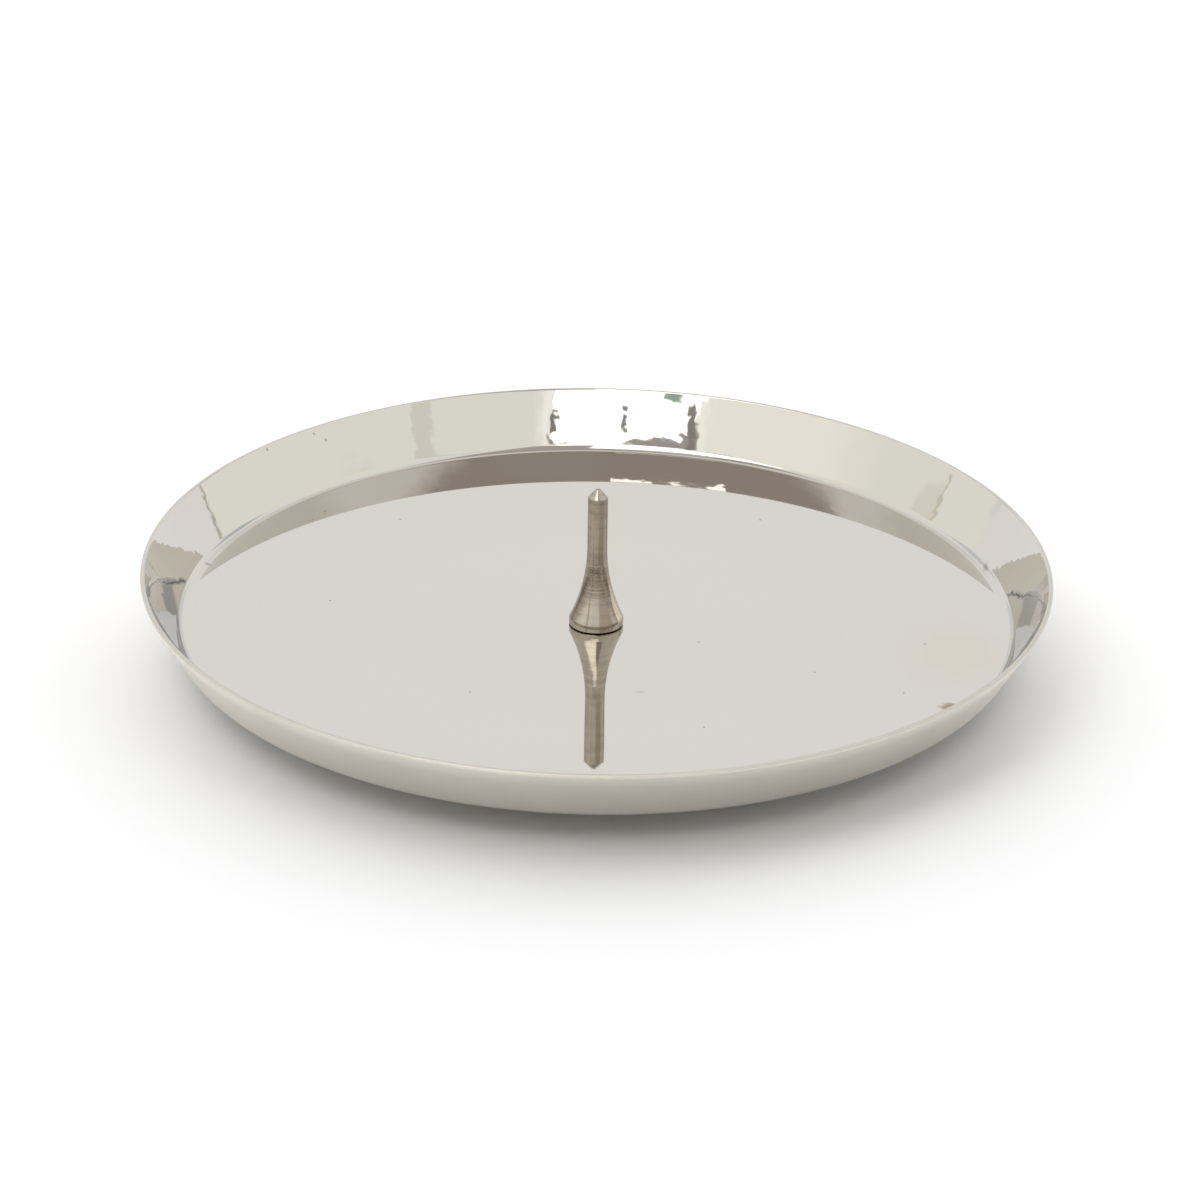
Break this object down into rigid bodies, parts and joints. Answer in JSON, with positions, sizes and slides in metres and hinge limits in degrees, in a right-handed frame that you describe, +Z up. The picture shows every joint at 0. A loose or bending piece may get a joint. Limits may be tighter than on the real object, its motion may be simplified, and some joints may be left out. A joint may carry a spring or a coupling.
{
  "type": "candle plate",
  "caption": "Round polished metal dish with a low leaning wall and an upright central spike that holds a pillar candle, on small felt feet.",
  "frame": {"origin": "on the table, below the middle of the dish", "axes": "+Z up along the spike, +Y to the back, towards the foot straight behind the spike"},
  "size_m": [0.14, 0.14, 0.0263],
  "materials": {
    "polished_nickel": "mirror-polished inside, satin outside",
    "turned_steel": "bright, with fine turning marks",
    "fastener_steel": "zinc plated",
    "felt": "pressed wool felt"
  },
  "bodies": {
    "root": {"dish": "polished_nickel", "spike": "turned_steel", "washer": "fastener_steel", "screw": "fastener_steel", "foot_1": "felt", "foot_2": "felt", "foot_3": "felt"}
  },
  "joints": []
}
